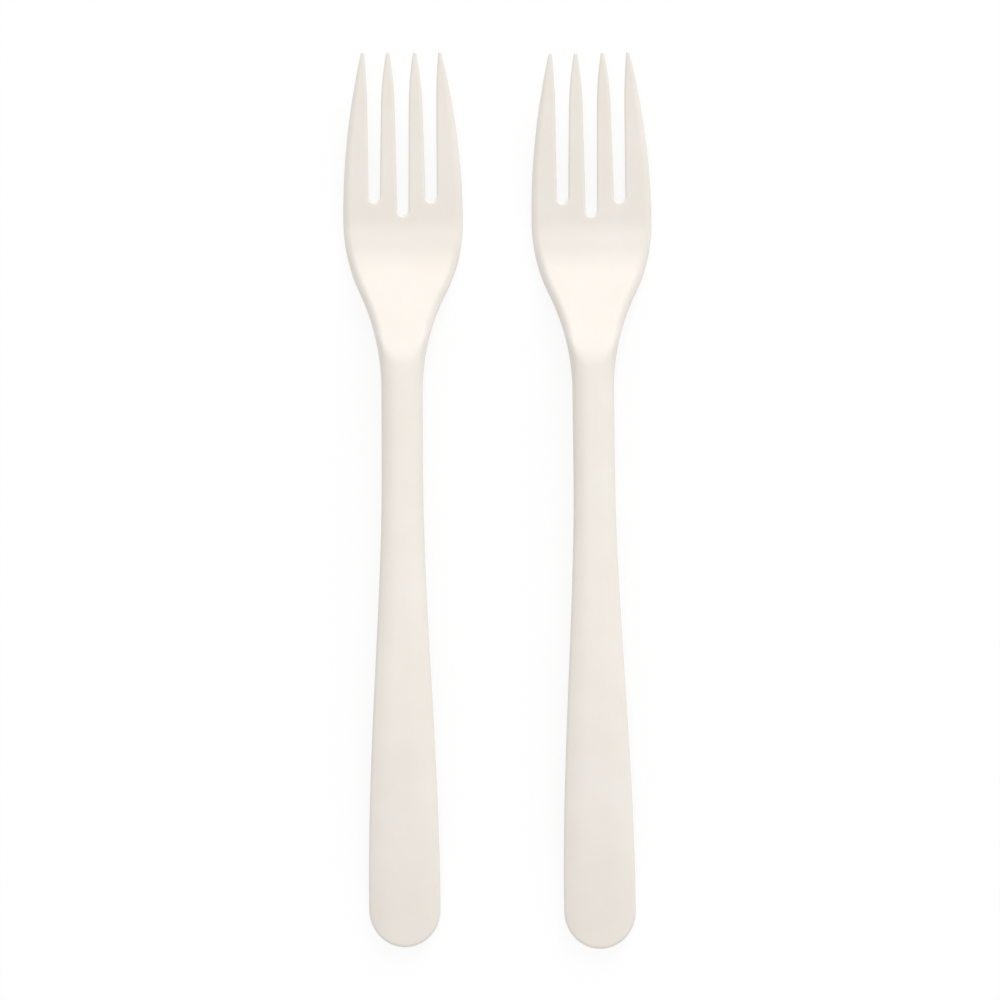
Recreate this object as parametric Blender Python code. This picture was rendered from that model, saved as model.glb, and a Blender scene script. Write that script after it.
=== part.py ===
"""Two identical moulded plastic forks that lie face up, side by side, on a table.

Metres, +Z up, tines towards +Y. The origin is on the table, at the middle of the pair.
Each fork is one moulding: a flat outline with its slots, bent along its length by one side
profile, crowned across the handle, with a rounded rim in front and plain drafted sides. It
is given as two solids, the handle and the head, that meet in a flat cut across the neck, so
that the shape of each is simple enough to keep its slots open where the forks are touched.
In the functions, x is the distance from the fork's centre line and d is the distance
from the end of its handle.
"""

import math

import bmesh
import bpy
import numpy as np
from mathutils import Vector
from mathutils.geometry import delaunay_2d_cdt

# The pair
FORK_SPACING = 0.0405
LEFT_LEAN = math.radians(0.16)
RIGHT_LEAN = math.radians(0.71)
RIGHT_SETBACK = 0.0002

# The outline of the handle, neck and head
FORK_LENGTH = 0.185
HANDLE_WIDTH = 0.0148
HANDLE_CAP_LENGTH = 0.0078
TAPER_SKEW = 1.08
NECK_WIDTH = 0.00855
NECK_LENGTH = 0.0166
HEAD_WIDTH = 0.0248
HEAD_LENGTH = 0.0697
SHOULDER_HOLLOW_RADIUS = 0.046
SHOULDER_ROUND_RADIUS = 0.034
HEAD_SIDE_RADIUS = 0.145

# The slots and the tines
SLOT_WIDTH = 0.00235
SLOT_FLARE = math.radians(0.77)
MIDDLE_SLOT_LENGTH = 0.0334
OUTER_SLOT_LENGTH = 0.0306
OUTER_SLOT_X = 0.0059
OUTER_SLOT_LEAN = math.radians(0.58)
POINT_LENGTH = 0.0112
INNER_TIP_X = 0.00277
OUTER_TIP_X = 0.00798
TIP_RADIUS = 0.00035

# The side profile, from the handle's end to the tips
DROOP_LENGTH = 0.062
DROOP_ANGLE = math.radians(9.2)
CREST_SETBACK = 0.0067
CREST_BLEND = 0.0006
CUT_SETBACK = 0.0011
NECK_SLOPE_LENGTH = 0.0182
NECK_ANGLE = math.radians(18.6)
BOWL_LENGTH = 0.0047
BOWL_FLAT = 0.003
TINE_BEND_LENGTH = 0.003
TINE_ANGLE = math.radians(8.3)

# The section
WALL = 0.0024
TIP_WALL = 0.0014
CROWN = 0.0018
END_CROWN = 0.0011
CROWN_POWER = 3.0
HANDLE_RIM = 0.0006
SHOULDER_RIM = 0.0019
HEAD_RIM = 0.0017
TINE_RIM = 0.0012
SLOT_RIM = 0.0005
HANDLE_RIM_RATIO = 0.42
SHOULDER_RIM_RATIO = 0.82
TINE_RIM_RATIO = 0.5
RIM_SHARE = 0.7
RIM_STEPS = 3
BACK_RADIUS = 0.0002
SIDE_DRAFT = 0.0001

# How finely curves are cut into straight pieces
FINE_STEP = 0.0022
COARSE_STEP = 0.009
CAP_STEPS = 7
SLOT_END_STEPS = 6
TIP_STEPS = 4
POINT_STEPS = 4
CROSS_SHARES = (-0.66, -0.33, 0.0, 0.33, 0.66)
NARROWEST_GAP = 0.0007
FILL_TOLERANCE = 1e-7
SLOPE_ROUNDS = 3
SHARP_ANGLE = math.radians(40)

PLASTIC_COLOUR = (0.88, 0.83, 0.76, 1.0)
PLASTIC_ROUGHNESS = 0.42

SHOULDER_START = FORK_LENGTH - HEAD_LENGTH
NECK_START = SHOULDER_START - NECK_LENGTH
SHOULDER_SUM = SHOULDER_HOLLOW_RADIUS + SHOULDER_ROUND_RADIUS
SHOULDER_RISE = (HEAD_WIDTH - NECK_WIDTH) / 2
SHOULDER_LENGTH = math.sqrt(SHOULDER_SUM**2 - (SHOULDER_SUM - SHOULDER_RISE) ** 2)
HOLLOW_LENGTH = SHOULDER_LENGTH * SHOULDER_HOLLOW_RADIUS / SHOULDER_SUM
WIDEST = SHOULDER_START + SHOULDER_LENGTH

CREST = SHOULDER_START + CREST_SETBACK
HEAD_CUT = CREST - CUT_SETBACK
NECK_MIDDLE = CREST + NECK_SLOPE_LENGTH / 3
BOWL_START = CREST + NECK_SLOPE_LENGTH
FLAT_START = BOWL_START + BOWL_LENGTH
FLAT_END = FLAT_START + BOWL_FLAT
TINE_START = FLAT_END + TINE_BEND_LENGTH

SLOT_RADIUS = SLOT_WIDTH / 2
MIDDLE_SLOT_CENTRE = FORK_LENGTH - MIDDLE_SLOT_LENGTH + SLOT_RADIUS
OUTER_SLOT_CENTRE = FORK_LENGTH - OUTER_SLOT_LENGTH + SLOT_RADIUS
TIP_ARC = math.radians(82)
TIP_ARC_D = FORK_LENGTH - TIP_RADIUS * (1 - math.cos(TIP_ARC))
TIP_ARC_X = TIP_RADIUS * math.sin(TIP_ARC)


def outer_side(d):
    """Half the overall width: an elliptic cap, an eased taper, a neck and three tangent arcs."""
    if d < HANDLE_CAP_LENGTH:
        share = 1 - d / HANDLE_CAP_LENGTH
        return HANDLE_WIDTH / 2 * math.sqrt(1 - share**2)
    if d < SHOULDER_START:
        share = min(1.0, (d - HANDLE_CAP_LENGTH) / (NECK_START - HANDLE_CAP_LENGTH)) ** TAPER_SKEW
        eased = share * share * (3 - 2 * share)
        return (HANDLE_WIDTH + (NECK_WIDTH - HANDLE_WIDTH) * eased) / 2
    if d < SHOULDER_START + HOLLOW_LENGTH:
        run = d - SHOULDER_START
        return NECK_WIDTH / 2 + SHOULDER_HOLLOW_RADIUS - math.sqrt(SHOULDER_HOLLOW_RADIUS**2 - run**2)
    radius = SHOULDER_ROUND_RADIUS if d < WIDEST else HEAD_SIDE_RADIUS
    return HEAD_WIDTH / 2 - radius + math.sqrt(radius**2 - (d - WIDEST) ** 2)


def slot_side(d, slot_centre):
    """Half the width of a slot: it flares from its round end towards the tips."""
    return SLOT_RADIUS + math.tan(SLOT_FLARE) * (d - slot_centre)


def outer_slot_x(d):
    return OUTER_SLOT_X - math.tan(OUTER_SLOT_LEAN) * (d - OUTER_SLOT_CENTRE)


def pointed(side, d, tip_side):
    """A tine's side that leaves its own line at the start of the point and curves to the tip."""
    run = max(0.0, d - (FORK_LENGTH - POINT_LENGTH))
    share = run / (TIP_ARC_D - FORK_LENGTH + POINT_LENGTH)
    return side(d) + (tip_side - side(TIP_ARC_D)) * share**2


def inner_tine_sides(d):
    near = pointed(lambda q: slot_side(q, MIDDLE_SLOT_CENTRE), d, INNER_TIP_X - TIP_ARC_X)
    far = pointed(lambda q: outer_slot_x(q) - slot_side(q, OUTER_SLOT_CENTRE), d, INNER_TIP_X + TIP_ARC_X)
    return near, far


def outer_tine_sides(d):
    near = pointed(lambda q: outer_slot_x(q) + slot_side(q, OUTER_SLOT_CENTRE), d, OUTER_TIP_X - TIP_ARC_X)
    far = pointed(outer_side, d, OUTER_TIP_X + TIP_ARC_X)
    return near, far


def stations(start, end, breaks, fine_from, fine_to):
    """Places along the fork from start to end, with every break, close together where it bends."""
    marks = sorted({start, end, *(b for b in breaks if start < b < end)})
    places = [start]
    for near, far in zip(marks, marks[1:]):
        step = FINE_STEP if fine_from <= near and far <= fine_to else COARSE_STEP
        count = max(1, round((far - near) / step))
        places += [near + (far - near) * i / count for i in range(1, count + 1)]
    return places


def side_stations():
    """The places that the long sides and the rows of the two faces share."""
    breaks = (DROOP_LENGTH, NECK_START, SHOULDER_START, CREST, NECK_MIDDLE, BOWL_START)
    breaks += (FLAT_START, FLAT_END, TINE_START, FORK_LENGTH - POINT_LENGTH)
    return stations(HANDLE_CAP_LENGTH, FORK_LENGTH - POINT_LENGTH, breaks, SHOULDER_START, TINE_START)


def point_stations():
    start = FORK_LENGTH - POINT_LENGTH
    return [start + (TIP_ARC_D - start) * i / POINT_STEPS for i in range(1, POINT_STEPS + 1)]


def side_rim(d):
    """Width of the rounded rim along the outside: narrow on the handle, widest on the shoulders."""
    marks = (SHOULDER_START, NECK_MIDDLE, BOWL_START, FLAT_START, FORK_LENGTH - POINT_LENGTH)
    return float(np.interp(d, marks, (HANDLE_RIM, SHOULDER_RIM, SHOULDER_RIM, HEAD_RIM, TINE_RIM)))


def rim_ratio(d):
    """The rim's depth over its width: steepest on the shoulders."""
    marks = (SHOULDER_START, NECK_MIDDLE, BOWL_START, FLAT_START)
    return np.interp(d, marks, (HANDLE_RIM_RATIO, SHOULDER_RIM_RATIO, SHOULDER_RIM_RATIO, TINE_RIM_RATIO))


def within(rim, half_width):
    """A rim is never wider than the tine leaves room for."""
    return min(rim, RIM_SHARE * max(half_width, TIP_RADIUS))


def tip_arc(centre_x):
    angles = np.linspace(TIP_ARC, -TIP_ARC, TIP_STEPS + 1)[1:-1]
    middle = FORK_LENGTH - TIP_RADIUS
    rim = within(TINE_RIM, TIP_RADIUS)
    return [(centre_x + TIP_RADIUS * math.sin(a), middle + TIP_RADIUS * math.cos(a), rim) for a in angles]


def slot_edge(sides, which, slot_centre):
    """The side of a tine along a slot, from the slot's round end to the arc of the tine's tip."""
    straight = stations(slot_centre, FORK_LENGTH - POINT_LENGTH, (TINE_START,), 0, 0)
    points = []
    for d in straight + point_stations():
        tine = sides(d)
        points.append((tine[which], d, within(SLOT_RIM, (tine[1] - tine[0]) / 2)))
    return points


def slot_arc(centre_x, centre_d, last_angle, steps):
    """A slot's round end, clockwise from the point after its +X side."""
    angles = [last_angle * i / steps for i in range(1, steps + 1)]
    return [
        (centre_x + SLOT_RADIUS * math.cos(a), centre_d + SLOT_RADIUS * math.sin(a), SLOT_RIM) for a in angles
    ]


def half_outline():
    """Points (x, d, rim) along the half at +X, from the handle's end round to the middle slot."""
    angles = [-math.pi / 2 * (1 - i / CAP_STEPS) for i in range(CAP_STEPS)]
    points = [
        (HANDLE_WIDTH / 2 * math.cos(a), HANDLE_CAP_LENGTH * (1 + math.sin(a)), HANDLE_RIM) for a in angles
    ]
    points += [(outer_side(d), d, side_rim(d)) for d in side_stations()]
    for d in point_stations():
        near, far = outer_tine_sides(d)
        points.append((far, d, within(side_rim(d), (far - near) / 2)))
    points += tip_arc(OUTER_TIP_X)
    points += slot_edge(outer_tine_sides, 0, OUTER_SLOT_CENTRE)[::-1]
    points += slot_arc(OUTER_SLOT_X, OUTER_SLOT_CENTRE, -math.pi, SLOT_END_STEPS)[:-1]
    points += slot_edge(inner_tine_sides, 1, OUTER_SLOT_CENTRE)
    points += tip_arc(INNER_TIP_X)
    points += slot_edge(inner_tine_sides, 0, MIDDLE_SLOT_CENTRE)[::-1]
    points += slot_arc(0.0, MIDDLE_SLOT_CENTRE, -math.pi / 2, SLOT_END_STEPS // 2)
    return points


def full_outline():
    """The whole outline, counter-clockwise: the half at +X and its mirror image."""
    half = half_outline()
    mirrored = [(-x, d, rim) for x, d, rim in half[-2:0:-1]]
    return np.array(half + mirrored)


def summed(d, marks, slopes):
    """The height gained from 0 to d along a slope that changes evenly between its marks."""
    at = np.union1d(marks, np.atleast_1d(d))
    slope = np.interp(at, marks, slopes)
    height = np.concatenate([[0.0], np.cumsum(np.diff(at) * (slope[1:] + slope[:-1]) / 2)])
    return np.interp(d, at, height)


def handle_height(d, handle_slope):
    """The crest line of the handle, which droops towards its end."""
    droop = math.tan(DROOP_ANGLE)
    return summed(d, (0.0, DROOP_LENGTH, FORK_LENGTH), (handle_slope + droop, handle_slope, handle_slope))


def head_height(d, handle_slope):
    """The neck's slope, the bowl and the tines, level across, from the crest of the handle."""
    neck, tine = -math.tan(NECK_ANGLE), math.tan(TINE_ANGLE)
    marks = (0.0, BOWL_START, FLAT_START, FLAT_END, TINE_START, FORK_LENGTH)
    slopes = (neck, neck, 0.0, 0.0, tine, tine)
    fall = summed(d, marks, slopes) - summed(CREST, marks, slopes)
    return fall + handle_height(CREST, handle_slope)


def crown_drop(x, d):
    """How far the handle's face falls away from its crest line at x."""
    crown = np.interp(d, (0.0, CREST), (END_CROWN, CROWN))
    width = np.array([outer_side(max(q, HANDLE_CAP_LENGTH)) for q in np.atleast_1d(d)])
    return crown * np.abs(x / width) ** CROWN_POWER


def face_height(x, d, handle_slope):
    """The lower of the crowned handle and the head, rounded where the two meet at the crest."""
    handle = handle_height(d, handle_slope) - crown_drop(x, d)
    head = head_height(d, handle_slope)
    rest = np.maximum(CREST_BLEND - np.abs(handle - head), 0)
    blended = np.minimum(handle, head) - rest**2 / (4 * CREST_BLEND)
    return np.where(d < BOWL_START, blended, head)


def upright_wall(d):
    return np.interp(d, (MIDDLE_SLOT_CENTRE, FORK_LENGTH), (WALL, TIP_WALL))


def bowl_height(handle_slope):
    """Height of the lowest part of the underside."""
    return float(head_height(FLAT_START, handle_slope)) - WALL


def inward_normals(outline):
    along = np.roll(outline[:, :2], -1, axis=0) - np.roll(outline[:, :2], 1, axis=0)
    along /= np.linalg.norm(along, axis=1)[:, None]
    return np.stack([-along[:, 1], along[:, 0]], axis=1)


def ring(outline, inset, drop, handle_slope):
    """The outline moved in by inset and down from the face by drop, as 3-D points."""
    plan = outline[:, :2] + inward_normals(outline) * inset[:, None]
    x, d = plan[:, 0], plan[:, 1]
    return np.stack([x, d, face_height(x, d, handle_slope) - drop], axis=1)


def section_rings(outline, handle_slope):
    """The rings from the face over the rim, a parabola, and down the side to the back."""
    rim, ratio = outline[:, 2], rim_ratio(outline[:, 1])
    wall = upright_wall(outline[:, 1])
    rings = []
    for step in range(RIM_STEPS + 1):
        share = step / RIM_STEPS
        rings.append((rim * (1 - share), rim * ratio * share**2))
    rings.append((np.full_like(rim, SIDE_DRAFT), wall - BACK_RADIUS))
    rings.append((np.minimum(rim, SIDE_DRAFT + BACK_RADIUS), wall))
    return [ring(outline, inset, drop, handle_slope) for inset, drop in rings]


def level_handle_slope(outline):
    """The slope of the straight handle that lets its end and the bowl touch the table together,
    corrected a few times by the gap that is left under the end."""
    slope = 0.0
    for _ in range(SLOPE_ROUNDS):
        back = section_rings(outline, slope)[-1]
        slope += (back[back[:, 1] < HANDLE_CAP_LENGTH, 2].min() - bowl_height(slope)) / CREST
    return slope


def face_rows(border):
    """Inner points of a face, in rows across the handle, neck and palm, clear of its border."""
    rows = []
    for d in side_stations():
        if d > MIDDLE_SLOT_CENTRE - SLOT_RADIUS:
            break
        reach = outer_side(d) - side_rim(d)
        rows += [(share * reach, d) for share in CROSS_SHARES]
    rows = np.array(rows)
    gaps = np.linalg.norm(rows[:, None, :] - border[None, :, :2], axis=2).min(axis=1)
    return rows[gaps > NARROWEST_GAP]


def fill(border):
    """Triangles over the area inside a ring, and the plan of the inner points that they use."""
    inner = face_rows(border)
    plan = [Vector(p) for p in np.concatenate([border[:, :2], inner])]
    loop = list(range(len(border)))
    found = delaunay_2d_cdt(plan, [], [loop], 1, FILL_TOLERANCE)
    source = [ids[0] for ids in found[3]]
    return [[source[corner] for corner in face] for face in found[2]], inner


def whole_fork():
    """One fork at the origin, its handle's end at y = 0 and its underside on z = 0."""
    outline = full_outline()
    handle_slope = level_handle_slope(outline)
    rings = section_rings(outline, handle_slope)
    count = len(outline)
    front_faces, front_inner = fill(rings[0])
    back_faces, back_inner = fill(rings[-1])
    x, d = front_inner.T
    front = np.stack([x, d, face_height(x, d, handle_slope)], axis=1)
    x, d = back_inner.T
    back = np.stack([x, d, face_height(x, d, handle_slope) - upright_wall(d)], axis=1)
    points = np.concatenate([*rings, front, back]) - (0.0, 0.0, bowl_height(handle_slope))

    bm = bmesh.new()
    verts = [bm.verts.new(p) for p in points]
    for level in range(len(rings) - 1):
        upper, lower = verts[level * count :], verts[(level + 1) * count :]
        for i in range(count):
            j = (i + 1) % count
            bm.faces.new((upper[i], lower[i], lower[j], upper[j]))
    front_start = len(rings) * count
    for face in front_faces:
        bm.faces.new([verts[i if i < count else front_start + i - count] for i in face])
    back_ring, back_start = front_start - count, front_start + len(front)
    for face in back_faces:
        bm.faces.new([verts[back_ring + i if i < count else back_start + i - count] for i in reversed(face)])
    return bm


def cut_off(fork, name, side):
    """The part of a fork before the cut across its neck (side -1) or past it (side 1), closed
    by a flat face in the cut."""
    bm = fork.copy()
    everything = [*bm.verts, *bm.edges, *bm.faces]
    plane = {"plane_co": (0.0, HEAD_CUT, 0.0), "plane_no": (0.0, -side, 0.0)}
    cut = bmesh.ops.bisect_plane(bm, geom=everything, clear_outer=True, **plane)
    edges = [item for item in cut["geom_cut"] if isinstance(item, bmesh.types.BMEdge)]
    bmesh.ops.edgeloop_fill(bm, edges=edges)
    bmesh.ops.recalc_face_normals(bm, faces=bm.faces)
    mesh = bpy.data.meshes.new(name)
    bm.to_mesh(mesh)
    bm.free()
    mesh.shade_smooth()
    mesh.set_sharp_from_angle(angle=SHARP_ANGLE)
    return mesh


def plastic():
    material = bpy.data.materials.new("cream plastic")
    material.use_nodes = True
    shader = material.node_tree.nodes["Principled BSDF"]
    shader.inputs["Base Color"].default_value = PLASTIC_COLOUR
    shader.inputs["Roughness"].default_value = PLASTIC_ROUGHNESS
    shader.inputs["Metallic"].default_value = 0.0
    material.diffuse_color = PLASTIC_COLOUR
    return material


def place(name, mesh, x, y, lean):
    """Lays a part of a fork with the handle's end at (x, y), the head leaning to -X by lean."""
    solid = bpy.data.objects.new(name, mesh)
    bpy.context.scene.collection.objects.link(solid)
    solid.location = (x, y, 0.0)
    solid.rotation_euler = (0.0, 0.0, lean)
    return solid


def centre_on_origin(solids):
    """Moves the pair together so that the middle of its plan lies at the origin."""
    bpy.context.view_layer.update()
    corners = [solid.matrix_world @ v.co for solid in solids for v in solid.data.vertices]
    for axis in (0, 1):
        places = [corner[axis] for corner in corners]
        middle = (min(places) + max(places)) / 2
        for solid in solids:
            solid.location[axis] -= middle


def build():
    for old in list(bpy.data.objects):
        bpy.data.objects.remove(old, do_unlink=True)
    fork, material, solids = whole_fork(), plastic(), []
    for part, side in (("handle", -1), ("head", 1)):
        mesh = cut_off(fork, part, side)
        mesh.materials.append(material)
        solids.append(place(f"left_{part}", mesh, 0.0, 0.0, LEFT_LEAN))
        solids.append(place(f"right_{part}", mesh, FORK_SPACING, -RIGHT_SETBACK, RIGHT_LEAN))
    fork.free()
    centre_on_origin(solids)


build()
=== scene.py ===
import math

import bpy
import numpy as np
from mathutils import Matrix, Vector
from mathutils.geometry import delaunay_2d_cdt


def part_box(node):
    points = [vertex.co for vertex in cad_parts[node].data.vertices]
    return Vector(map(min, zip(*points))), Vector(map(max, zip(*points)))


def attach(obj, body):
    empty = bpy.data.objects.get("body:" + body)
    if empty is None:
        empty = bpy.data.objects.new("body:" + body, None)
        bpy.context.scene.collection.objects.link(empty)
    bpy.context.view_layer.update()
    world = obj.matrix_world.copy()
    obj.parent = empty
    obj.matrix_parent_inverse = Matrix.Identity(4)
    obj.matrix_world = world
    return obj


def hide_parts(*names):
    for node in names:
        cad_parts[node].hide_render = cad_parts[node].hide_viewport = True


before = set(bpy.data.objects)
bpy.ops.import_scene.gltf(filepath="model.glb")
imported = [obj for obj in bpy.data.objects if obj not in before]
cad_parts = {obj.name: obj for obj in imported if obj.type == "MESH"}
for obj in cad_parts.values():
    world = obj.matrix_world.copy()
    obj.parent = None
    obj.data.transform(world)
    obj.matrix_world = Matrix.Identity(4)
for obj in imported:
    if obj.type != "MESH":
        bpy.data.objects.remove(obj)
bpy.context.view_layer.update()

# The pair, in metres
FORK_SPACING = 0.0405
LEFT_LEAN = math.radians(0.16)
RIGHT_LEAN = math.radians(0.71)
RIGHT_SETBACK = 0.0002

# The outline of the handle, neck and head
FORK_LENGTH = 0.185
HANDLE_WIDTH = 0.0148
HANDLE_CAP_LENGTH = 0.0078
TAPER_SKEW = 1.08
NECK_WIDTH = 0.00855
NECK_LENGTH = 0.0166
HEAD_WIDTH = 0.0248
HEAD_LENGTH = 0.0697
SHOULDER_HOLLOW_RADIUS = 0.046
SHOULDER_ROUND_RADIUS = 0.034
HEAD_SIDE_RADIUS = 0.145

# The slots and the tines
SLOT_WIDTH = 0.00235
SLOT_FLARE = math.radians(0.77)
MIDDLE_SLOT_LENGTH = 0.0334
OUTER_SLOT_LENGTH = 0.0306
OUTER_SLOT_X = 0.0059
OUTER_SLOT_LEAN = math.radians(0.58)
POINT_LENGTH = 0.0112
INNER_TIP_X = 0.00277
OUTER_TIP_X = 0.00798
TIP_RADIUS = 0.00035
TIP_ARC = math.radians(82)

# The side profile, from the handle's end to the tips
DROOP_LENGTH = 0.062
DROOP_ANGLE = math.radians(9.2)
CREST_SETBACK = 0.0067
CREST_BLEND = 0.0006
NECK_SLOPE_LENGTH = 0.0182
NECK_ANGLE = math.radians(18.6)
BOWL_LENGTH = 0.0047
BOWL_FLAT = 0.003
TINE_BEND_LENGTH = 0.003
TINE_ANGLE = math.radians(8.3)

# The section
WALL = 0.0024
TIP_WALL = 0.0014
CROWN = 0.0018
END_CROWN = 0.0011
CROWN_POWER = 3.0
HANDLE_RIM = 0.0006
SHOULDER_RIM = 0.0019
HEAD_RIM = 0.0017
TINE_RIM = 0.0012
SLOT_RIM = 0.0005
HANDLE_RIM_RATIO = 0.42
SHOULDER_RIM_RATIO = 0.82
TINE_RIM_RATIO = 0.5
RIM_SHARE = 0.75
BACK_RADIUS = 0.0002
SIDE_DRAFT = 0.0001

# How finely the surface is laid out
ROW_STEP = 0.0005
CAP_STEPS = 48
SLOT_END_STEPS = 28
TIP_STEPS = 14
POINT_STEPS = 30
RIM_STEPS = 9
BACK_STEPS = 3
FACE_COLUMNS = 27
TINE_COLUMNS = 7
TINE_ROW_SHARES = (0.08, 0.92)
NARROWEST_GAP = 0.00022
FILL_TOLERANCE = 1e-8
SLOPE_ROUNDS = 3
POINTS_AT_ONCE = 2000

# What follows from the sizes above: lengths, and stations, which are distances d from the
# handle's end
SHOULDER_START = FORK_LENGTH - HEAD_LENGTH
NECK_START = SHOULDER_START - NECK_LENGTH
SHOULDER_SUM = SHOULDER_HOLLOW_RADIUS + SHOULDER_ROUND_RADIUS
SHOULDER_RISE = (HEAD_WIDTH - NECK_WIDTH) / 2
SHOULDER_LENGTH = math.sqrt(SHOULDER_SUM**2 - (SHOULDER_SUM - SHOULDER_RISE) ** 2)
HOLLOW_LENGTH = SHOULDER_LENGTH * SHOULDER_HOLLOW_RADIUS / SHOULDER_SUM
WIDEST = SHOULDER_START + SHOULDER_LENGTH
CREST = SHOULDER_START + CREST_SETBACK
NECK_MIDDLE = CREST + NECK_SLOPE_LENGTH / 3
BOWL_START = CREST + NECK_SLOPE_LENGTH
FLAT_START = BOWL_START + BOWL_LENGTH
FLAT_END = FLAT_START + BOWL_FLAT
TINE_START = FLAT_END + TINE_BEND_LENGTH
POINT_START = FORK_LENGTH - POINT_LENGTH
SLOT_RADIUS = SLOT_WIDTH / 2
MIDDLE_SLOT_CENTRE = FORK_LENGTH - MIDDLE_SLOT_LENGTH + SLOT_RADIUS
OUTER_SLOT_CENTRE = FORK_LENGTH - OUTER_SLOT_LENGTH + SLOT_RADIUS
TIP_ARC_D = FORK_LENGTH - TIP_RADIUS * (1 - math.cos(TIP_ARC))
TIP_ARC_X = TIP_RADIUS * math.sin(TIP_ARC)

# The plastic: clouds of tone and gloss about 11 mm across, and a flow ripple of about 1.4 mm
CLOUDS_PER_METRE = 90.0
CLOUD_DETAIL = 3.0
CLOUD_RANGE = (0.3, 0.7)
CLOUD_TONES = ("#f4ede4", "#f7f1e9")
CLOUD_ROUGHNESS = (0.40, 0.46)
RIPPLES_PER_METRE = 700.0
RIPPLE_DETAIL = 2.0
RIPPLE_STRENGTH = 0.04
RIPPLE_HEIGHT = 0.0001
PLASTIC_IOR = 1.5
LIGHT_LET_IN = 0.15
LIGHT_REACH = 0.001
LIGHT_REACH_BY_COLOUR = (1.0, 0.8, 0.6)

# The studio: a key softbox from behind the tines and one overhead, the world's level as a
# light, and the glow that keeps the open paper just white
KEY_PLACE = (1.72, 4.75, 2.62)
KEY_SIDE = 3.0
KEY_WATTS = 148.0
OVERHEAD_PLACE = (0.0, 1.4, 6.4)
OVERHEAD_SIDE = 3.6
OVERHEAD_WATTS = 70.0
WORLD_LIGHT = 0.59
PAPER_COLOUR = "#e6e6e6"
PAPER_GLOW = 1.066
GLOW_SHARE = 0.8
PAPER_REACH = 3.0
PAPER_DROP = 0.0001

# The photograph: a flat view from high above, a little to the right of the pair
MM_PER_PIXEL = 0.2067
PICTURE_SIDE_PIXELS = 1000
CAMERA_HEIGHT = 0.95
CAMERA_RIGHT = 0.033
CAMERA_SIGHT = 20.0
SENSOR_WIDTH = 36.0
PICTURE_CENTRE = (0.00065, 0.00027, 0.004)


def overall_half_width(d):
    """Half the overall width at d: an elliptic cap, a taper eased by 3s² - 2s³, a parallel
    neck, a hollow arc, a round arc and the long arc of the head's side."""
    d = np.asarray(d, float)
    cap = np.clip(1 - d / HANDLE_CAP_LENGTH, 0, 1)
    share = np.clip((d - HANDLE_CAP_LENGTH) / (NECK_START - HANDLE_CAP_LENGTH), 0, 1) ** TAPER_SKEW
    eased = share * share * (3 - 2 * share)
    handle = (HANDLE_WIDTH + (NECK_WIDTH - HANDLE_WIDTH) * eased) / 2 * np.sqrt(1 - cap**2)
    run = np.clip(d - SHOULDER_START, 0, HOLLOW_LENGTH)
    hollow = NECK_WIDTH / 2 + SHOULDER_HOLLOW_RADIUS - np.sqrt(SHOULDER_HOLLOW_RADIUS**2 - run**2)
    radius = np.where(d < WIDEST, SHOULDER_ROUND_RADIUS, HEAD_SIDE_RADIUS)
    past = np.clip(d - WIDEST, -SHOULDER_ROUND_RADIUS, None)
    head = HEAD_WIDTH / 2 - radius + np.sqrt(radius**2 - past**2)
    shoulder = np.where(d < SHOULDER_START + HOLLOW_LENGTH, hollow, head)
    return np.where(d < SHOULDER_START, handle, shoulder)


def slot_side(d, slot_centre):
    """Half a slot's width: its round end's radius plus the flare times the distance past it."""
    return SLOT_RADIUS + math.tan(SLOT_FLARE) * (d - slot_centre)


def outer_slot_x(d):
    """The outer slot's centre line, which leans in towards the tips."""
    return OUTER_SLOT_X - math.tan(OUTER_SLOT_LEAN) * (d - OUTER_SLOT_CENTRE)


def outer_slot_edges(d):
    """The outer slot's edges towards the fork's middle and away from it."""
    centre, half = outer_slot_x(d), slot_side(d, OUTER_SLOT_CENTRE)
    return centre - half, centre + half


def pointed(side, d, tip_side):
    """A tine's side plus a shift that grows with the square of the distance into the point."""
    share = np.clip(d - POINT_START, 0, None) / (TIP_ARC_D - POINT_START)
    return side(d) + (tip_side - side(np.float64(TIP_ARC_D))) * share**2


def inner_tine_sides(d):
    """The inner tine at +X, from the middle slot to the outer one."""
    near = pointed(lambda q: slot_side(q, MIDDLE_SLOT_CENTRE), d, INNER_TIP_X - TIP_ARC_X)
    far = pointed(lambda q: outer_slot_edges(q)[0], d, INNER_TIP_X + TIP_ARC_X)
    return near, far


def outer_tine_sides(d):
    """The outer tine at +X, from the outer slot to the side of the head."""
    near = pointed(lambda q: outer_slot_edges(q)[1], d, OUTER_TIP_X - TIP_ARC_X)
    far = pointed(overall_half_width, d, OUTER_TIP_X + TIP_ARC_X)
    return near, far


def evenly(start, end):
    """Stations from start to end, about ROW_STEP apart."""
    return np.linspace(start, end, max(2, round((end - start) / ROW_STEP) + 1))


def side_rim(d):
    """Width of the rounded rim along the outside: narrow on the handle, widest on the
    shoulders, and narrower again along the head and its tines."""
    marks = (SHOULDER_START, NECK_MIDDLE, BOWL_START, FLAT_START, POINT_START)
    return np.interp(d, marks, (HANDLE_RIM, SHOULDER_RIM, SHOULDER_RIM, HEAD_RIM, TINE_RIM))


def within(rim, half_width):
    """The rim, or where that is less a share of the half width, so that two rims never meet."""
    return np.minimum(rim, RIM_SHARE * np.maximum(half_width, TIP_RADIUS))


def stretch(x, d, rim):
    """One stretch of the outline as rows of x, d and rim width."""
    return np.stack(np.broadcast_arrays(x, d, rim), axis=1)


def point_stations():
    """Stations along a tine's point, past its start and up to the arc of the tip."""
    return np.linspace(POINT_START, TIP_ARC_D, POINT_STEPS + 1)[1:]


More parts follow.
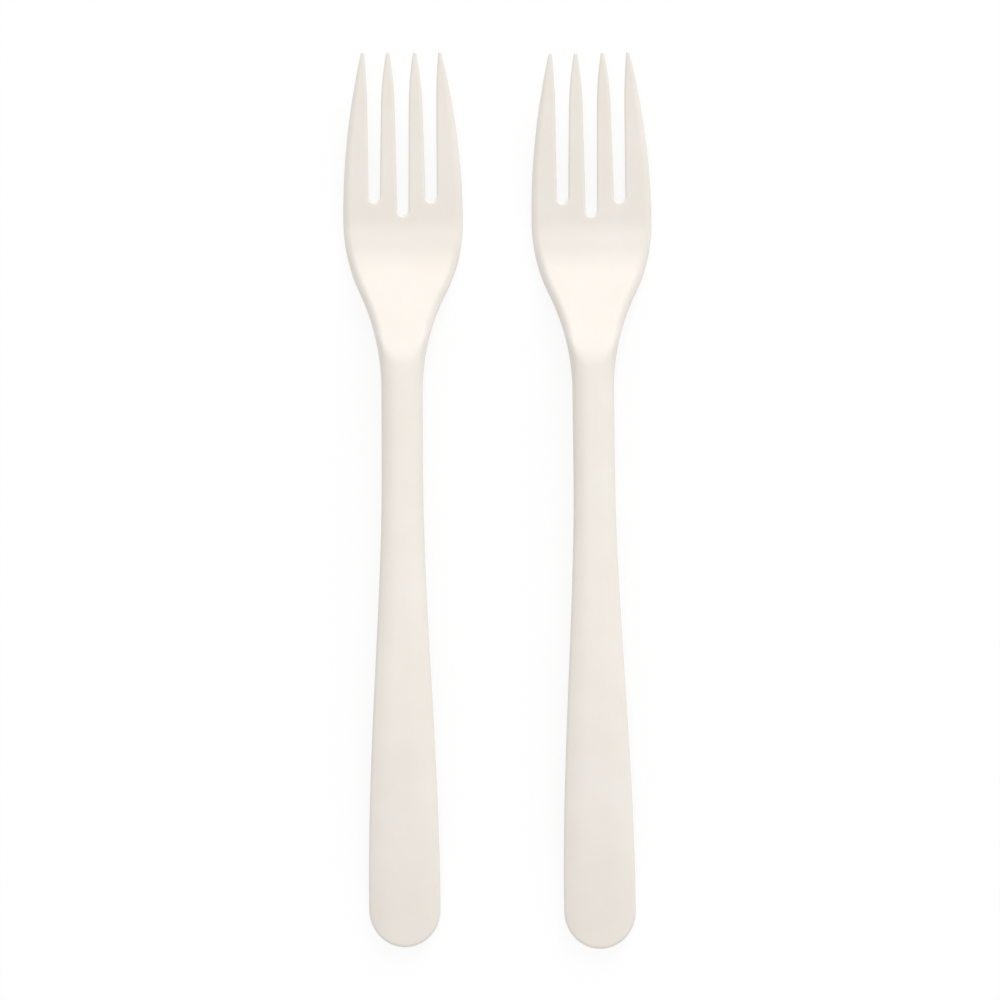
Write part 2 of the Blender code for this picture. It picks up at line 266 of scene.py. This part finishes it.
def slot_edge(sides, which, slot_centre):
    """The side of a tine along a slot, from the slot's round end to the arc of the tip."""
    d = np.concatenate([evenly(slot_centre, POINT_START), point_stations()])
    tine = sides(d)
    return stretch(tine[which], d, within(SLOT_RIM, (tine[1] - tine[0]) / 2))


def tip_arc(centre_x):
    """The tip's arc: the tip radius times the sine and cosine of an angle from straight ahead."""
    angle = np.linspace(TIP_ARC, -TIP_ARC, TIP_STEPS + 1)[1:-1]
    x = centre_x + TIP_RADIUS * np.sin(angle)
    d = FORK_LENGTH - TIP_RADIUS + TIP_RADIUS * np.cos(angle)
    return stretch(x, d, within(TINE_RIM, TIP_RADIUS))


def slot_arc(centre_x, centre_d, last_angle, steps):
    """A slot's round end: the slot radius times the cosine and sine of an angle from +X."""
    angle = last_angle * np.arange(1, steps + 1) / steps
    x = centre_x + SLOT_RADIUS * np.cos(angle)
    return stretch(x, centre_d + SLOT_RADIUS * np.sin(angle), SLOT_RIM)


def outline():
    """The closed outline, counter-clockwise: the half at +X from the handle's end round to
    the middle slot, then its mirror image."""
    angle = -math.pi / 2 * (1 - np.arange(CAP_STEPS) / CAP_STEPS)
    cap_x, cap_d = HANDLE_WIDTH / 2 * np.cos(angle), HANDLE_CAP_LENGTH * (1 + np.sin(angle))
    cap = stretch(cap_x, cap_d, HANDLE_RIM)
    d = evenly(HANDLE_CAP_LENGTH, POINT_START)
    side = stretch(overall_half_width(d), d, side_rim(d))
    d = point_stations()
    near, far = outer_tine_sides(d)
    point = stretch(far, d, within(side_rim(d), (far - near) / 2))
    parts = (
        cap,
        side,
        point,
        tip_arc(OUTER_TIP_X),
        slot_edge(outer_tine_sides, 0, OUTER_SLOT_CENTRE)[::-1],
        slot_arc(OUTER_SLOT_X, OUTER_SLOT_CENTRE, -math.pi, SLOT_END_STEPS)[:-1],
        slot_edge(inner_tine_sides, 1, OUTER_SLOT_CENTRE),
        tip_arc(INNER_TIP_X),
        slot_edge(inner_tine_sides, 0, MIDDLE_SLOT_CENTRE)[::-1],
        slot_arc(0.0, MIDDLE_SLOT_CENTRE, -math.pi / 2, SLOT_END_STEPS // 2),
    )
    half = np.concatenate(parts)
    return np.concatenate([half, half[-2:0:-1] * (-1, 1, 1)])


def summed(d, marks, slopes):
    """The height gained from 0 to d: the slope, which changes evenly between its marks, summed
    by trapezoids."""
    at = np.union1d(marks, np.ravel(d))
    slope = np.interp(at, marks, slopes)
    height = np.concatenate([[0.0], np.cumsum(np.diff(at) * (slope[1:] + slope[:-1]) / 2)])
    return np.interp(d, at, height)


def handle_height(d, handle_slope):
    """The crest line of the handle, which droops towards its end."""
    slopes = (handle_slope + math.tan(DROOP_ANGLE), handle_slope, handle_slope)
    return summed(d, (0.0, DROOP_LENGTH, FORK_LENGTH), slopes)


def head_height(d, handle_slope):
    """The neck's slope, the bowl and the tines, level across, from the crest of the handle."""
    neck, tine = -math.tan(NECK_ANGLE), math.tan(TINE_ANGLE)
    marks = (0.0, BOWL_START, FLAT_START, FLAT_END, TINE_START, FORK_LENGTH)
    slopes = (neck, neck, 0.0, 0.0, tine, tine)
    below_crest = summed(d, marks, slopes) - summed(CREST, marks, slopes)
    return below_crest + handle_height(CREST, handle_slope)


def crown_drop(x, d):
    """The crown times a power of x over the half width."""
    crown = np.interp(d, (0.0, CREST), (END_CROWN, CROWN))
    return crown * np.abs(x / overall_half_width(np.maximum(d, HANDLE_CAP_LENGTH))) ** CROWN_POWER


def face_height(x, d, handle_slope):
    """The lower of the crowned handle and the head. Where they differ by less than the blend,
    the square of the rest over four blends comes off, which rounds the crest."""
    handle, head = handle_height(d, handle_slope) - crown_drop(x, d), head_height(d, handle_slope)
    rest = np.maximum(CREST_BLEND - np.abs(handle - head), 0)
    blended = np.minimum(handle, head) - rest**2 / (4 * CREST_BLEND)
    return np.where(d < BOWL_START, blended, head)


def upright_wall(d):
    """The wall, measured straight down: even up to the slots, then thinner towards the tips."""
    return np.interp(d, (MIDDLE_SLOT_CENTRE, FORK_LENGTH), (WALL, TIP_WALL))


def bowl_height(handle_slope):
    """Height of the underside's lowest part."""
    return float(head_height(FLAT_START, handle_slope)) - WALL


def rim_ratio(d):
    """The rim's depth over its width: steepest on the shoulders."""
    marks = (SHOULDER_START, NECK_MIDDLE, BOWL_START, FLAT_START)
    ratios = (HANDLE_RIM_RATIO, SHOULDER_RIM_RATIO, SHOULDER_RIM_RATIO, TINE_RIM_RATIO)
    return np.interp(d, marks, ratios)


def section(rim, ratio, wall):
    """The profile carried round the outline, as how far in from the edge and how far down from
    the face: a parabola over the rim, the drafted side, a quarter circle at the back."""
    over = np.linspace(0, 1, RIM_STEPS + 1)[:, None]
    under = np.linspace(0, math.pi / 2, BACK_STEPS + 1)[:, None]
    back_in = np.minimum(SIDE_DRAFT + BACK_RADIUS * (1 - np.cos(under)), rim)
    back_down = wall - BACK_RADIUS * (1 - np.sin(under))
    inset = np.concatenate([rim * (1 - over), back_in])
    drop = np.concatenate([rim * ratio * over**2, back_down])
    return inset, drop


def rim_and_side(edge, handle_slope):
    """Grid of points, one row for each step of the section and one column for each point of
    the outline, moved in along the outline's normal and down from the face."""
    along = np.roll(edge[:, :2], -1, axis=0) - np.roll(edge[:, :2], 1, axis=0)
    along /= np.linalg.norm(along, axis=1)[:, None]
    inset, drop = section(edge[:, 2], rim_ratio(edge[:, 1]), upright_wall(edge[:, 1]))
    x = edge[:, 0] - along[:, 1] * inset
    d = edge[:, 1] + along[:, 0] * inset
    return np.stack([x, d, face_height(x, d, handle_slope) - drop], axis=2)


def level_handle_slope(edge):
    """The slope of the straight handle that lets its end and the bowl touch the table together,
    corrected a few times by the gap that is left under the end."""
    slope = 0.0
    for _ in range(SLOPE_ROUNDS):
        back = rim_and_side(edge, slope)[-1]
        slope += (back[back[:, 1] < HANDLE_CAP_LENGTH, 2].min() - bowl_height(slope)) / CREST
    return slope


def face_rows(border):
    """Points in rows across the handle, neck and palm, and across each tine, clear of the
    border."""
    across = np.linspace(-1, 1, FACE_COLUMNS)
    d = evenly(ROW_STEP, MIDDLE_SLOT_CENTRE)
    body_x = (overall_half_width(d) - side_rim(d))[:, None] * across
    groups = [np.stack([body_x, np.broadcast_to(d[:, None], body_x.shape)], axis=2).reshape(-1, 2)]
    share = np.linspace(*TINE_ROW_SHARES, TINE_COLUMNS)
    for sides in (inner_tine_sides, outer_tine_sides):
        d = evenly(MIDDLE_SLOT_CENTRE + ROW_STEP, POINT_START + POINT_LENGTH / 2)
        near, far = (side[:, None] for side in sides(d))
        x = near + (far - near) * share
        rows = np.stack([x, np.broadcast_to(d[:, None], x.shape)], axis=2).reshape(-1, 2)
        groups += [rows, rows * (-1, 1)]
    points = np.concatenate(groups)
    return points[clear_of(points, border)]


def inside(points, border):
    """Whether each point lies inside the closed border: an odd number of crossings to its +X."""
    x, y = points[:, 0][:, None], points[:, 1][:, None]
    x0, y0 = border.T
    x1, y1 = np.roll(border, -1, axis=0).T
    spans = (y0 > y) != (y1 > y)
    rise_y = np.where(y1 == y0, 1.0, y1 - y0)
    crossing = x0 + (y - y0) * (x1 - x0) / rise_y
    return (spans & (x < crossing)).sum(axis=1) % 2 == 1


def clear_of(points, border):
    """True for the points inside the border that keep the narrowest gap to its corners."""
    gap = np.empty(len(points))
    within_border = np.empty(len(points), bool)
    for start in range(0, len(points), POINTS_AT_ONCE):
        block = slice(start, start + POINTS_AT_ONCE)
        gap[block] = np.linalg.norm(points[block, None] - border[None], axis=2).min(axis=1)
        within_border[block] = inside(points[block], border)
    return within_border & (gap > NARROWEST_GAP)


def fill(border):
    """Triangles over the area inside a closed ring, and the inner points that they use."""
    inner = face_rows(border)
    plan = [Vector(p) for p in np.concatenate([border, inner]).tolist()]
    ring = [list(range(len(border)))]
    _, _, faces, source, _, _ = delaunay_2d_cdt(plan, [], ring, 1, FILL_TOLERANCE)
    first = np.array([ids[0] for ids in source])
    return first[np.array(faces)], inner


def strip_faces(rows, columns):
    """Two triangles for each cell of a grid whose columns close on themselves."""
    near = np.arange(rows - 1)[:, None] * columns + np.arange(columns)
    following = np.arange(rows - 1)[:, None] * columns + (np.arange(columns) + 1) % columns
    below, after = near + columns, following + columns
    return np.stack([near, below, after, near, after, following], axis=2).reshape(-1, 3)


def fork_surface():
    """One fork's points and triangles, with its handle's end at y = 0 and its underside at
    z = 0."""
    edge = outline()
    handle_slope = level_handle_slope(edge)
    grid = rim_and_side(edge, handle_slope)
    rows, columns = grid.shape[:2]
    top, top_inner = fill(grid[0, :, :2])
    under, under_inner = fill(grid[-1, :, :2])
    x, d = top_inner.T
    top_points = np.stack([x, d, face_height(x, d, handle_slope)], axis=1)
    x, d = under_inner.T
    under_points = np.stack([x, d, face_height(x, d, handle_slope) - upright_wall(d)], axis=1)
    points = np.concatenate([grid.reshape(-1, 3), top_points, under_points])
    points[:, 2] -= bowl_height(handle_slope)
    inner_start = rows * columns
    top = np.where(top < columns, top, top - columns + inner_start)
    under_start = inner_start + len(top_points)
    under = np.where(under < columns, under + (rows - 1) * columns, under - columns + under_start)
    return points, np.concatenate([strip_faces(rows, columns), top, under[:, ::-1]])


def laid(points, x, y, lean):
    """Points turned by lean about the handle's end and moved to (x, y)."""
    turn = np.array([[math.cos(lean), -math.sin(lean)], [math.sin(lean), math.cos(lean)]])
    return np.concatenate([points[:, :2] @ turn.T + (x, y), points[:, 2:]], axis=1)


def add_fork(name, nodes, points, faces, material):
    """One fork in a single skin, kept inside the box of the solids that it stands for."""
    boxes = np.array([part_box(node) for node in nodes])
    low, high = boxes[:, 0].min(axis=0), boxes[:, 1].max(axis=0)
    mesh = bpy.data.meshes.new(name)
    mesh.from_pydata(np.clip(points, low, high).tolist(), [], faces.tolist())
    mesh.shade_smooth()
    mesh.materials.append(material)
    fork = bpy.data.objects.new(name, mesh)
    bpy.context.scene.collection.objects.link(fork)
    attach(fork, "root")
    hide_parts(*nodes)


def linear(hex_colour):
    """An sRGB hex colour as linear red, green, blue and alpha."""
    channels = [int(hex_colour[i : i + 2], 16) / 255 for i in (1, 3, 5)]
    return (*[c / 12.92 if c <= 0.04045 else ((c + 0.055) / 1.055) ** 2.4 for c in channels], 1.0)


def add_node(tree, kind, settings=None, links=None):
    """Adds a node: settings are its properties or, by socket name or number, input values, and
    links give the output that feeds each input."""
    node = tree.nodes.new(kind)
    for key, value in (settings or {}).items():
        if isinstance(key, str) and hasattr(node, key):
            setattr(node, key, value)
        else:
            node.inputs[key].default_value = value
    for key, output in (links or {}).items():
        tree.links.new(output, node.inputs[key])
    return node


def moulded_polystyrene():
    """Cream impact polystyrene, injection moulded in a polished tool: a satin skin that lets a
    little light in, with cloudy variation in tone and gloss and a faint flow ripple."""
    material = bpy.data.materials.new("moulded cream polystyrene")
    material.use_nodes = True
    tree = material.node_tree
    shader = tree.nodes["Principled BSDF"]
    where = {"Vector": add_node(tree, "ShaderNodeTexCoord").outputs["Object"]}
    clouds = {"Scale": CLOUDS_PER_METRE, "Detail": CLOUD_DETAIL}
    cloud = add_node(tree, "ShaderNodeTexNoise", clouds, where).outputs["Fac"]
    tone = add_node(tree, "ShaderNodeValToRGB", {}, {0: cloud})
    for stop, position, colour in zip(tone.color_ramp.elements, CLOUD_RANGE, CLOUD_TONES):
        stop.position = position
        stop.color = linear(colour)
    spread = dict(zip(("From Min", "From Max", "To Min", "To Max"), CLOUD_RANGE + CLOUD_ROUGHNESS))
    gloss = add_node(tree, "ShaderNodeMapRange", spread, {"Value": cloud})
    ripples = {"Scale": RIPPLES_PER_METRE, "Detail": RIPPLE_DETAIL}
    ripple = add_node(tree, "ShaderNodeTexNoise", ripples, where).outputs["Fac"]
    relief = {"Strength": RIPPLE_STRENGTH, "Distance": RIPPLE_HEIGHT}
    bump = add_node(tree, "ShaderNodeBump", relief, {"Height": ripple})
    tree.links.new(tone.outputs["Color"], shader.inputs["Base Color"])
    tree.links.new(gloss.outputs["Result"], shader.inputs["Roughness"])
    tree.links.new(bump.outputs["Normal"], shader.inputs["Normal"])
    shader.inputs["IOR"].default_value = PLASTIC_IOR
    shader.inputs["Subsurface Weight"].default_value = LIGHT_LET_IN
    shader.inputs["Subsurface Radius"].default_value = LIGHT_REACH_BY_COLOUR
    shader.inputs["Subsurface Scale"].default_value = LIGHT_REACH
    return material


def seen_directly(tree):
    """1 for what the camera, a gloss or a clear wall shows, 0 for the rays that light the forks."""
    path = add_node(tree, "ShaderNodeLightPath")
    largest = {"operation": "MAXIMUM"}
    shown = {0: path.outputs["Is Camera Ray"], 1: path.outputs["Is Glossy Ray"]}
    either = add_node(tree, "ShaderNodeMath", largest, shown)
    shown = {0: either.outputs[0], 1: path.outputs["Is Transmission Ray"]}
    return add_node(tree, "ShaderNodeMath", largest, shown).outputs[0]


def white_paper():
    """Matt white paper. Seen directly it is mostly glow, so it stays white and keeps a faint
    shadow of the forks; the light that it throws back on them is the paper's own."""
    material = bpy.data.materials.new("matt white paper")
    material.use_nodes = True
    tree = material.node_tree
    tree.nodes.clear()
    paper = add_node(tree, "ShaderNodeBsdfDiffuse", {"Color": linear(PAPER_COLOUR)})
    glow = add_node(tree, "ShaderNodeEmission", {"Strength": PAPER_GLOW})
    part = {"operation": "MULTIPLY", 1: GLOW_SHARE}
    share = add_node(tree, "ShaderNodeMath", part, {0: seen_directly(tree)})
    links = {0: share.outputs[0], 1: paper.outputs[0], 2: glow.outputs[0]}
    mixed = add_node(tree, "ShaderNodeMixShader", {}, links)
    add_node(tree, "ShaderNodeOutputMaterial", {}, {"Surface": mixed.outputs[0]})
    return material


def add_floor():
    """A sheet of paper just under the forks, so that its face and theirs never coincide."""
    mesh = bpy.data.meshes.new("floor")
    turns = ((-1, -1), (1, -1), (1, 1), (-1, 1))
    mesh.from_pydata([(x * PAPER_REACH, y * PAPER_REACH, 0) for x, y in turns], [], [(0, 1, 2, 3)])
    mesh.materials.append(white_paper())
    floor = bpy.data.objects.new("floor", mesh)
    floor.location.z = -PAPER_DROP
    bpy.context.scene.collection.objects.link(floor)


def add_lamp(name, place, side, watts):
    """A square softbox at a place, turned towards the forks."""
    light = bpy.data.lights.new(name, "AREA")
    light.shape = "SQUARE"
    light.size = side
    light.energy = watts
    lamp = bpy.data.objects.new(name, light)
    lamp.location = place
    lamp.rotation_euler = (-lamp.location).to_track_quat("-Z", "Y").to_euler()
    bpy.context.scene.collection.objects.link(lamp)


def add_lights():
    add_lamp("key softbox", KEY_PLACE, KEY_SIDE, KEY_WATTS)
    add_lamp("overhead softbox", OVERHEAD_PLACE, OVERHEAD_SIDE, OVERHEAD_WATTS)


def add_world():
    """A white studio: white where it is seen directly, and dimmer as a light on the forks."""
    world = bpy.data.worlds.new("white studio")
    world.use_nodes = True
    tree = world.node_tree
    background = tree.nodes["Background"]
    background.inputs["Color"].default_value = (1, 1, 1, 1)
    levels = {"To Min": WORLD_LIGHT, "To Max": 1.0}
    level = add_node(tree, "ShaderNodeMapRange", levels, {"Value": seen_directly(tree)})
    tree.links.new(level.outputs["Result"], background.inputs["Strength"])
    bpy.context.scene.world = world


def add_camera():
    """A long lens whose field takes in the picture's side at the forks' distance."""
    camera = bpy.data.cameras.new("camera")
    camera.sensor_width = SENSOR_WIDTH
    centre = Vector(PICTURE_CENTRE)
    place = centre + Vector((CAMERA_RIGHT, 0.0, CAMERA_HEIGHT))
    picture_side = MM_PER_PIXEL * PICTURE_SIDE_PIXELS / 1000
    camera.lens = camera.sensor_width * (place - centre).length / picture_side
    camera.clip_end = CAMERA_SIGHT
    thing = bpy.data.objects.new("camera", camera)
    thing.location = place
    bpy.context.scene.collection.objects.link(thing)
    thing.rotation_euler = (0.0, math.atan2(CAMERA_RIGHT, CAMERA_HEIGHT), 0.0)
    bpy.context.scene.camera = thing


def add_forks():
    """The pair from one moulding, with the middle of its box at the origin, as the CAD has it."""
    points, faces = fork_surface()
    plastic = moulded_polystyrene()
    left = laid(points, 0.0, 0.0, LEFT_LEAN)
    right = laid(points, FORK_SPACING, -RIGHT_SETBACK, RIGHT_LEAN)
    pair = np.concatenate([left, right])
    middle = (pair.min(axis=0) + pair.max(axis=0)) / 2 * (1, 1, 0)
    add_fork("left_fork", ("left_handle", "left_head"), left - middle, faces, plastic)
    add_fork("right_fork", ("right_handle", "right_head"), right - middle, faces, plastic)


add_forks()
add_floor()
add_lights()
add_world()
add_camera()

bpy.context.scene.view_settings.view_transform = "Standard"
